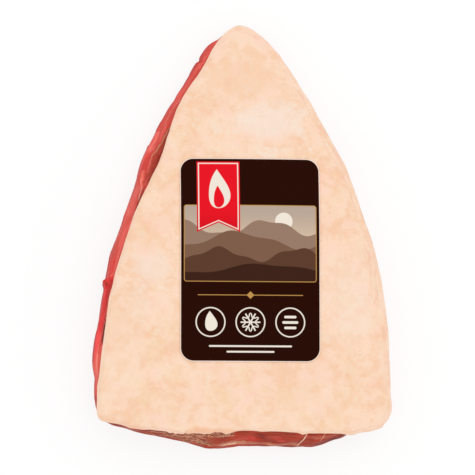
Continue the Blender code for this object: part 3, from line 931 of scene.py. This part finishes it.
label = {
    "halves": (44, 64.3),  # half its width and height
    "corner": 8.5,
    "centre": (3, -17.5),
    "thickness": 0.35,
    "gap": 0.32,  # between the label and the fat
    "cells": (72, 104),
    "cornerCells": 10,
    "coverEase": 4,  # outside it the fat's swells come back over this
    "edge": 0.55,  # width of the paper that shows round the print
    "soft": 0.12,  # how far each printed edge is softened
    "roughness": 0.45,
    "specular": 0.015,
    "ground": (0.02, 0.0034, 0.001),
    "paper": (0.95, 0.75, 0.63),
    "red": (0.78, 0.008, 0.018),
    "darkRed": (0.42, 0.003, 0.006),
    "cream": (0.84, 0.76, 0.66),
    "gold": (0.5, 0.27, 0.075),
    "sky": (0.46, 0.36, 0.29),
    "haze": (0.66, 0.5, 0.36),
    "picture": (0, 10, 41.4, 24, 1.5),  # middle, half width, half height and corner
    "hazeFade": (6, 34),  # heights from haze to sky
    "frameLine": 0.5,
    "sun": (21, 24, 5.5),  # middle and radius
    "hills": [  # colour, height, rise, wave length and place, the furthest first
        ((0.3, 0.19, 0.135), 20, 4.5, 9, 0.4),
        ((0.2, 0.105, 0.065), 12, 5, 13, 2.2),
        ((0.105, 0.046, 0.026), 3, 4, 8, 4.1),
        ((0.045, 0.016, 0.009), -6, 3, 16, 1),
    ],
    "banner": (-20, 13.5, 62, 17, 6),  # middle, half width, top, tail height and depth of its notch
    "bannerShade": (33, 13),  # heights between which it darkens
    "bannerLine": (1.2, 0.7),  # how far inside its edge, and its width
    "rule": (-22.5, 0.25, 33, 2.4),  # height, half width, half length, and half size of its diamond
    "rings": [(-25, -39.5), (0, -39.5), (25, -39.5)],
    "ringSize": (9, 0.8),  # radius and line
    "flames": [  # middle, foot, height, half width and colour
        (-20, 32, 25, 7, "cream"),
        (-20, 32.5, 14, 3.4, "red"),
        (-25, -45.1, 12.5, 4, "cream"),
    ],
    "snow": (0, -39.5, 6.2, 0.45),  # middle, length and half width of each arm
    "barbs": (2.6, 0.5, 3, 5.2),  # start, half width, and from where to where along the arm
    "bars": [  # middle, half length, half width and corner
        (25, -42.9, 3.81, 0.8, 0.7),
        (25, -39.5, 5, 0.8, 0.7),
        (25, -36.1, 3.81, 0.8, 0.7),
        (0, -54.5, 26, 0.55, 0.5),
        (0, -58, 15, 0.55, 0.5),
    ],
}


def labelCover(plan):
    # 1 under the label, falling to 0 a few millimetres outside it
    over = np.abs(plan - label["centre"]) - label["halves"]
    return smoothStep(1 - over.max(axis=-1) / label["coverEase"])


def labelPiece(material):
    # a rectangle laid over the fat, with a grid that is closer across each corner; the corner
    # squares become quarter circles, as each way in is times the root of 1 less half the other's
    # square
    more, straight = label["cornerCells"], np.array(label["halves"]) - label["corner"]
    lines = [
        np.interp(np.arange(cells + 1), [0, more, cells - more, cells], [-half, -inner, inner, half])
        for cells, half, inner in zip(label["cells"], label["halves"], straight)
    ]
    plan = np.stack(np.meshgrid(*lines, indexing="ij"), axis=-1)
    over = np.maximum(0, np.abs(plan) - straight) / label["corner"]
    bent = over * np.sqrt(1 - over[..., ::-1] ** 2 / 2) * label["corner"]
    plan = label["centre"] + np.sign(plan) * (np.minimum(np.abs(plan), straight) + bent)
    points = withHeight(plan, topHeight(plan) + label["gap"]).reshape(-1, 3)
    index = np.arange(len(points)).reshape(plan.shape[:2])
    quads = np.stack([index[:-1, :-1], index[1:, :-1], index[1:, 1:], index[:-1, 1:]], axis=-1)
    piece = addPiece("label_sheet", points, quads.reshape(-1, 4).tolist(), material)
    wall = piece.modifiers.new("Thickness", "SOLIDIFY")
    wall.thickness = label["thickness"] * mm
    wall.offset = 1.0
    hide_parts("label")


def labelMaterial():
    # every printed shape is a distance that is below 0 inside it
    paint = Paint("label_print", Roughness=label["roughness"], Specular_IOR_Level=label["specular"])
    x, y, _ = paint.split(paint.place)
    x, y = x - label["centre"][0], y - label["centre"][1]
    soft = label["soft"]

    def boxDistance(midX, midY, halfX, halfY, corner):
        overX, overY = abs(x - midX) - (halfX - corner), abs(y - midY) - (halfY - corner)
        outX, outY = overX.most(0), overY.most(0)
        return (outX * outX + outY * outY) ** 0.5 + overX.most(overY).least(0) - corner

    def discDistance(midX, midY, radius):
        offX, offY = x - midX, y - midY
        return (offX * offX + offY * offY) ** 0.5 - radius

    def inside(distance):
        return distance.step(soft, -soft)

    def outline(distance, width):
        return (abs(distance) - width / 2).step(soft, -soft)

    def flame(midX, foot, height, halfWidth):
        # half width at a share t of the height: root of t, times what is left above
        t = ((y - foot) / height).most(0).least(1)
        sway = (t * 5).sine() * (0.12 * halfWidth)
        body = inside(abs(x - midX - sway) - t**0.5 * (1 - t) * (2.5 * halfWidth))
        return body * y.band(foot, foot + height, 0.1)

    picture = boxDistance(*label["picture"])
    scenery = paint.mix(y.step(*label["hazeFade"]), label["haze"], label["sky"])
    scenery = paint.mix(inside(discDistance(*label["sun"])), scenery, label["cream"])
    for tint, height, rise, length, place in label["hills"]:
        # a sine, and a quarter of one that is a good third as long
        wide, narrow = (x / length + place).sine(), (x / (length * 0.37) + 2 * place).sine()
        line = wide * rise + narrow * (rise * 0.25) + height
        scenery = paint.mix(inside(y - line), scenery, tint)
    colour = paint.mix(inside(picture), label["ground"], scenery)

    # what is printed over that, from the first to the last
    prints = [(outline(picture, label["frameLine"]), "gold")]

    midX, halfWidth, top, tail, notch = label["banner"]
    side = abs(x - midX)
    hem = tail + notch - side * (notch / halfWidth)
    banner = (side - halfWidth).most(hem - y).most(y - top)
    inset, line = label["bannerLine"]
    prints += [
        (inside(banner), "red"),
        (inside(banner) * y.step(*label["bannerShade"]) * 0.5, "darkRed"),
        (outline(banner + inset, line), "cream"),
    ]

    height, halfWidth, halfLength, diamond = label["rule"]
    prints += [
        (inside(abs(y - height) - halfWidth) * inside(abs(x) - halfLength), "gold"),
        (inside(abs(x) + abs(y - height) - diamond), "gold"),
    ]

    radius, line = label["ringSize"]
    prints += [(outline(discDistance(*middle, radius), line), "cream") for middle in label["rings"]]
    prints += [(flame(*place), name) for *place, name in label["flames"]]
    prints += [(inside(boxDistance(*bar)), "cream") for bar in label["bars"]]

    midX, midY, length, halfWidth = label["snow"]
    barbFrom, barbHalf, low, high = label["barbs"]
    for turn in (0, 60, 120):
        c, s = math.cos(math.radians(turn)), math.sin(math.radians(turn))
        along = abs((x - midX) * c + (y - midY) * s)
        off = abs((y - midY) * c - (x - midX) * s)
        barb = inside(abs(off - (along - barbFrom)) - barbHalf) * along.band(low, high, 0.1)
        prints += [(inside(off - halfWidth) * inside(along - length), "cream"), (barb, "cream")]

    rim = boxDistance(0, 0, *label["halves"], label["corner"]) + label["edge"]
    prints.append((rim.step(-0.1, 0.1), "paper"))
    for cover, name in prints:
        colour = paint.mix(cover, colour, label[name])
    return paint.finish(colour)


# The pieces

leanWall = leanPiece(leanMaterial())
fatPiece(fatMaterial())
labelPiece(labelMaterial())
frayedThreads(leanWall)
sinewStrips(leanWall)


# Stage, light and camera

studio = {
    "lens": 300,
    "sensor": 36,
    "frameWidth": 302.8,  # millimetres of the board that the picture spans
    "target": (-1.35, 0.8, 0),
    "towards": (-0.08, -0.1, 1),  # from the cut to the camera
    "floorSize": 14,  # metres, as the lamp's size and place are
    "floorGlow": 0.8,
    "floorTone": 0.2,
    "sky": 1,
    "lamp": 1.6,  # watts
    "lampSize": 1,
    "lampPlace": (0.4, 0.35, 1.6),
}


def buildFloor():
    half = studio["floorSize"] / 2
    mesh = bpy.data.meshes.new("floor")
    corners = [(-half, -half, 0), (half, -half, 0), (half, half, 0), (-half, half, 0)]
    mesh.from_pydata(corners, [], [(0, 1, 2, 3)])
    paint = Paint("pale_floor", Specular_IOR_Level=0, Emission_Strength=studio["floorGlow"])
    mesh.materials.append(paint.finish([studio["floorTone"]] * 3, Emission_Color=(1, 1, 1)))
    addObject("floor", mesh)


def buildLight():
    world = bpy.data.worlds.new("studio")
    bpy.context.scene.world = world
    world.use_nodes = True
    background = world.node_tree.nodes["Background"]
    background.inputs["Color"].default_value = (1, 1, 1, 1)
    background.inputs["Strength"].default_value = studio["sky"]
    light = bpy.data.lights.new("softbox", "AREA")
    light.shape = "DISK"
    light.size = studio["lampSize"]
    light.energy = studio["lamp"]
    lamp = addObject("softbox", light)
    lamp.location = studio["lampPlace"]
    lamp.rotation_euler = (-lamp.location).to_track_quat("-Z", "Y").to_euler()


def buildCamera():
    # nearly straight down, with the tip of the cut at the top of the picture
    data = bpy.data.cameras.new("camera")
    data.lens = studio["lens"]
    data.sensor_width = studio["sensor"]
    distance = studio["frameWidth"] * mm * studio["lens"] / studio["sensor"]
    back = Vector(studio["towards"]).normalized()
    right = Vector((0, 1, 0)).cross(back).normalized()
    camera = addObject("camera", data)
    camera.location = Vector(studio["target"]) * mm + back * distance
    camera.rotation_euler = Matrix((right, back.cross(right), back)).transposed().to_euler()
    bpy.context.scene.camera = camera


bpy.context.scene.view_settings.view_transform = "Standard"
buildFloor()
buildLight()
buildCamera()
print("scene: studio and camera ready")
